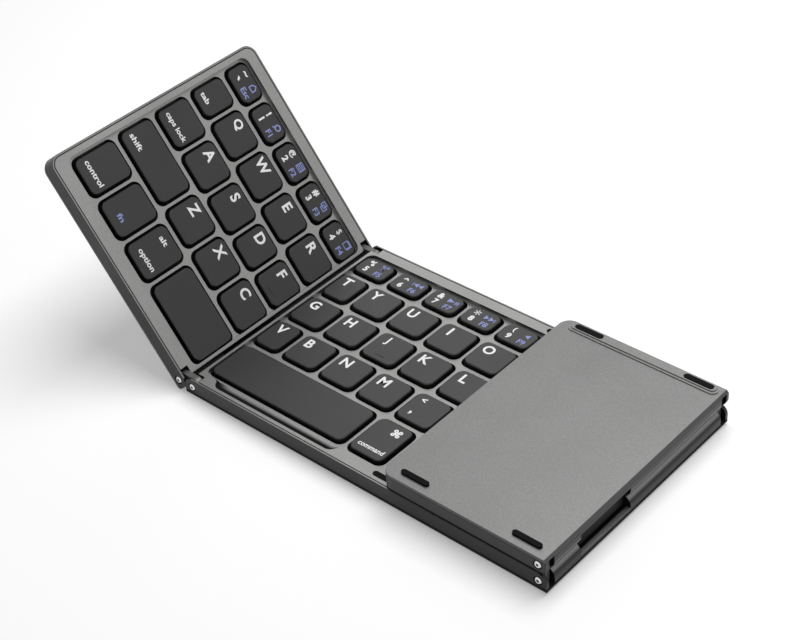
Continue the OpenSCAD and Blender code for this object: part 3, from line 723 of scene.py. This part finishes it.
# A letter's middle from the key's left edge, and its lower edge from the key's rear edge
LETTER_X = 4.3
LETTER_FROM_BACK = 6.15
LETTER_H = 4.4
LETTER_BOLD = 0.028


def letter_legends(rows, key_of, panel):
    for r, first, letters in rows:
        for i, letter in enumerate(letters, first):
            key = key_of(r, i)
            y = key[3] - key[2] - LETTER_FROM_BACK
            mark = legend(key, panel, letter.upper(), LETTER_X, y, LETTER_H, align="middle", bold=LETTER_BOLD)
            join_and_ride([mark], "legend_" + letter, "key_" + letter + "_body", legend_white)


letter_legends(LETTERS_LEFT, left_key, ON_LEFT)
letter_legends(LETTERS_CENTRE, centre_key, ON_DESK)

# Upper sign, lower sign, blue sign and function of each key in the rear row
NUMBER_ROW_LEFT = [
    ("~", "`", "⌂", "Esc"), ("!", "1", "⌕", "F1"), ("@", "2", "▤", "F2"),
    ("#", "3", "⧉", "F3"), ("$", "4", "❐", "F4"),
]
NUMBER_ROW_CENTRE = [
    ("%", "5", "✂", "F5"), ("^", "6", "I◀◀", "F6"), ("&", "7", "▶II", "F7"),
    ("*", "8", "▶▶I", "F8"), ("(", "9", "◀", "F9"), (")", "0", "◀-", "F10"),
    ("_", "-", "◀+", "F11"), ("+", "=", "□", "F12"),
]
NUMBER_ROW = 4
# Middle of the white and of the blue signs from the key's left edge
WHITE_X = 4.0
BLUE_X = 9.9
# Lower edge and height of the signs, with others for the signs that are flat
UPPER_SIGN = (5.3, 2.9)
UPPER_FLAT = (6.4, 1.1)
UPPER_FLAT_W = 2.5
LOWER_SIGN = (1.5, 2.9)
LOWER_FLAT = (2.7, 1.3)
FUNCTION = (1.3, 2.5)
# The blue signs' lower edge, their height, that of the wide ones and the triangle, and the width
# of the wide ones
BLUE_SIGN_Y = 5.1
BLUE_SIGN_H = 3.2
BLUE_LOW_H = 2.3
BLUE_WIDE_W = 4.6
# Widening of the strokes of the white signs, the blue signs and the names of functions
WHITE_BOLD = 0.04
BLUE_BOLD = 0.018
FUNCTION_BOLD = 0.02
# Left and lower edge and height of the arrow on the key at the end of the number row
BACK_ARROW = (3.0, 3.0, 3.0)


def upper_sign(key, panel, sign):
    """Flat signs get a width of their own. Signs whose strokes cross aren't made bolder."""
    if sign in "~_^":
        return legend(key, panel, sign, WHITE_X, *UPPER_FLAT,
                      width=UPPER_FLAT_W, align="middle", bold=WHITE_BOLD)
    bold = 0.0 if sign in "$*" else WHITE_BOLD
    return legend(key, panel, sign, WHITE_X, *UPPER_SIGN, align="middle", bold=bold)


def lower_sign(key, panel, sign):
    place = LOWER_FLAT if sign in "`-=" else LOWER_SIGN
    return legend(key, panel, sign, WHITE_X, *place, align="middle", bold=WHITE_BOLD)


def blue_sign(key, panel, sign):
    wide = len(sign) > 1
    height = BLUE_LOW_H if wide or sign == "◀" else BLUE_SIGN_H
    width = BLUE_WIDE_W if wide else None
    return legend(key, panel, sign, BLUE_X, BLUE_SIGN_Y, height,
                  width=width, align="middle", bold=BLUE_BOLD)


def function_name(key, panel, name):
    return legend(key, panel, name, BLUE_X, *FUNCTION, align="middle", bold=FUNCTION_BOLD)


def number_legends(rows, key_of, panel, side):
    white, blue = [], []
    for i, (upper, lower, sign, function) in enumerate(rows):
        key = key_of(NUMBER_ROW, i)
        white.append(upper_sign(key, panel, upper))
        white.append(lower_sign(key, panel, lower))
        blue.append(blue_sign(key, panel, sign))
        blue.append(function_name(key, panel, function))
    if side == "centre":
        white.append(legend(key_of(NUMBER_ROW, len(rows)), panel, "←", *BACK_ARROW))
    body = "keys_number_" + side + "_body"
    join_and_ride(white, "legend_numbers_" + side, body, legend_white)
    join_and_ride(blue, "legend_functions_" + side, body, legend_blue)


number_legends(NUMBER_ROW_LEFT, left_key, ON_LEFT, "left")
number_legends(NUMBER_ROW_CENTRE, centre_key, ON_DESK, "centre")

# Row, key, words, x, y, height and width of the words on the modifier keys
MODIFIERS_LEFT = [
    (0, 0, "control", 1.8, 3.4, 2.2, 10.3),
    (0, 2, "alt", 3.2, 12.9, 2.1, 3.9),
    (0, 2, "option", 3.0, 2.6, 2.7, 9.0),
    (1, 0, "shift", 1.7, 3.1, 2.2, 6.7),
    (2, 0, "caps lock", 1.7, 2.4, 2.7, 12.0),
    (3, 0, "tab", 1.7, 2.5, 2.1, 4.7),
]
FUNCTION_KEY = [(0, 1, "fn", 5.9, 3.3, 2.2, 3.2)]
COMMAND_SIGN = [(0, 1, "⌘", 7.8, 12.0, 3.5, 3.5)]
MODIFIERS_CENTRE = [
    (0, 1, "command", 1.9, 2.6, 2.1, 10.8),
    (0, 2, "control", 1.8, 2.6, 2.2, 10.3),
    (1, 7, "shift", 20.0, 3.0, 2.2, 6.7),
    (2, 7, "enter", 15.6, 3.0, 2.2, 7.8),
]
WORD_BOLD = 0.024
COMMAND_BOLD = 0.03


def words_on(rows, key_of, panel, bold=WORD_BOLD):
    return [legend(key_of(r, i), panel, *words, bold=bold) for r, i, *words in rows]


def modifier_legends():
    left_body = "keys_modifier_left_body"
    join_and_ride(
        words_on(MODIFIERS_LEFT, left_key, ON_LEFT), "legend_modifiers_left", left_body, legend_white)
    join_and_ride(
        words_on(FUNCTION_KEY, left_key, ON_LEFT), "legend_function_key", left_body, legend_blue)
    centre = words_on(COMMAND_SIGN, centre_key, ON_DESK, bold=COMMAND_BOLD)
    centre += words_on(MODIFIERS_CENTRE, centre_key, ON_DESK)
    join_and_ride(centre, "legend_modifiers_centre", "keys_modifier_centre_body", legend_white)


# Row, key, upper and lower sign
PUNCTUATION = [
    (1, 4, "<", ","), (1, 5, ">", "."), (1, 6, "?", "/"), (2, 5, ":", ";"),
    (2, 6, "\"", "'"), (3, 6, "{", "["), (3, 7, "}", "]"), (3, 8, "|", "\\"),
]
# Lower edge and height of the upper signs, low and tall, and of the lower signs, small and tall
LOW_SIGN = (9.9, 2.1)
TALL_SIGN = (9.3, 3.0)
LOWER_Y = 2.5
LOWER_SMALL_H = 1.7
LOWER_H = 3.0
PUNCTUATION_BOLD = 0.03


def punctuation_legends():
    marks = []
    for r, i, upper, lower in PUNCTUATION:
        key = centre_key(r, i)
        place = LOW_SIGN if upper in "<>\":" else TALL_SIGN
        marks.append(legend(key, ON_DESK, upper, WHITE_X, *place, align="middle", bold=PUNCTUATION_BOLD))
        height = LOWER_SMALL_H if lower in ".,'" else LOWER_H
        marks.append(
            legend(key, ON_DESK, lower, WHITE_X, LOWER_Y, height, align="middle", bold=PUNCTUATION_BOLD))
    join_and_ride(marks, "legend_punctuation", "keys_punctuation_body", legend_white)


# Middle of an arrow from its key's left edge, then its lower edge and height
ARROW_X = 7.1
SIDE_ARROW = (7.7, 2.4)
UPRIGHT_ARROW = (2.6, 2.2)


def arrow_legends():
    """The upward and the downward arrow share one place in the row, one behind the other."""
    lower_key = centre_key(0, 4)
    left, right, front, back = lower_key
    upper_key = (left, right, (front + back) / 2 + SPACE_X / 2, back)
    arrows = [
        legend(centre_key(0, 3), ON_DESK, "◀", ARROW_X, *SIDE_ARROW, align="middle"),
        legend(upper_key, ON_DESK, "▲", ARROW_X, *UPRIGHT_ARROW, align="middle"),
        legend(lower_key, ON_DESK, "▼", ARROW_X, *UPRIGHT_ARROW, align="middle"),
        legend(centre_key(0, 5), ON_DESK, "▶", ARROW_X, *SIDE_ARROW, align="middle"),
    ]
    join_and_ride(arrows, "legend_arrows", "keys_arrow_body", legend_white)


modifier_legends()
punctuation_legends()
arrow_legends()


# ---- floor, light and background ----
# Lengths in metres here, and powers in watts
FLOOR_SIZE = 8.0
FLOOR_COLOUR = 0.9
FLOOR_GLOW = 0.28
WORLD_LIGHT = 0.23
BACKDROP_LIGHT = 1.0
WHITE = (1, 1, 1, 1)
LAMP_AIM = (0.02, 0, 0)
# Name, place, size and power
SOFTBOXES = [
    ("top_softbox", (0.02, 0.26, 0.76), (0.5, 0.7), 4.9),
    ("rear_left_softbox", (-0.55, 0.57, 0.44), (0.45, 0.2), 0.28),
]


def seen_by_eye_or_gloss(nodes, links):
    """One for camera, glossy and transmission rays, so that metal shows the white room too."""
    path = nodes.new("ShaderNodeLightPath")
    most = path.outputs["Is Camera Ray"]
    for kind in ("Is Glossy Ray", "Is Transmission Ray"):
        either = nodes.new("ShaderNodeMath")
        either.operation = "MAXIMUM"
        links.new(most, either.inputs[0])
        links.new(path.outputs[kind], either.inputs[1])
        most = either.outputs["Value"]
    return most


def put_floor():
    nothing_selected()
    bpy.ops.mesh.primitive_plane_add(size=FLOOR_SIZE, location=(0, 0, 0))
    floor = bpy.context.object
    floor.name = "floor"
    material = bpy.data.materials.new("floor_white")
    material.use_nodes = True
    nodes, links = material.node_tree.nodes, material.node_tree.links
    nodes.clear()
    out = nodes.new("ShaderNodeOutputMaterial")
    plain = nodes.new("ShaderNodeBsdfDiffuse")
    plain.inputs["Color"].default_value = grey(FLOOR_COLOUR) + (1,)
    glow = nodes.new("ShaderNodeEmission")
    glow.inputs["Color"].default_value = WHITE
    glow.inputs["Strength"].default_value = FLOOR_GLOW
    both = nodes.new("ShaderNodeAddShader")
    links.new(plain.outputs["BSDF"], both.inputs[0])
    links.new(glow.outputs["Emission"], both.inputs[1])
    seen = nodes.new("ShaderNodeMixShader")
    links.new(seen_by_eye_or_gloss(nodes, links), seen.inputs["Fac"])
    links.new(plain.outputs["BSDF"], seen.inputs[1])
    links.new(both.outputs["Shader"], seen.inputs[2])
    links.new(seen.outputs["Shader"], out.inputs["Surface"])
    floor.data.materials.append(material)


def put_world():
    world = bpy.data.worlds.new("studio")
    bpy.context.scene.world = world
    world.use_nodes = True
    nodes, links = world.node_tree.nodes, world.node_tree.links
    light = nodes["Background"]
    light.inputs["Color"].default_value = WHITE
    light.inputs["Strength"].default_value = WORLD_LIGHT
    backdrop = nodes.new("ShaderNodeBackground")
    backdrop.inputs["Color"].default_value = WHITE
    backdrop.inputs["Strength"].default_value = BACKDROP_LIGHT
    mix = nodes.new("ShaderNodeMixShader")
    links.new(seen_by_eye_or_gloss(nodes, links), mix.inputs["Fac"])
    links.new(light.outputs["Background"], mix.inputs[1])
    links.new(backdrop.outputs["Background"], mix.inputs[2])
    links.new(mix.outputs["Shader"], nodes["World Output"].inputs["Surface"])


def softbox(name, place, size, power):
    nothing_selected()
    bpy.ops.object.light_add(type="AREA", location=place)
    lamp = bpy.context.object
    lamp.name = name
    lamp.data.shape = "RECTANGLE"
    lamp.data.size, lamp.data.size_y = size
    lamp.data.energy = power
    lamp.rotation_euler = (Vector(place) - Vector(LAMP_AIM)).to_track_quat("Z", "Y").to_euler()


put_camera()
put_floor()
put_world()
for box in SOFTBOXES:
    softbox(*box)
bpy.context.scene.view_settings.view_transform = "Standard"
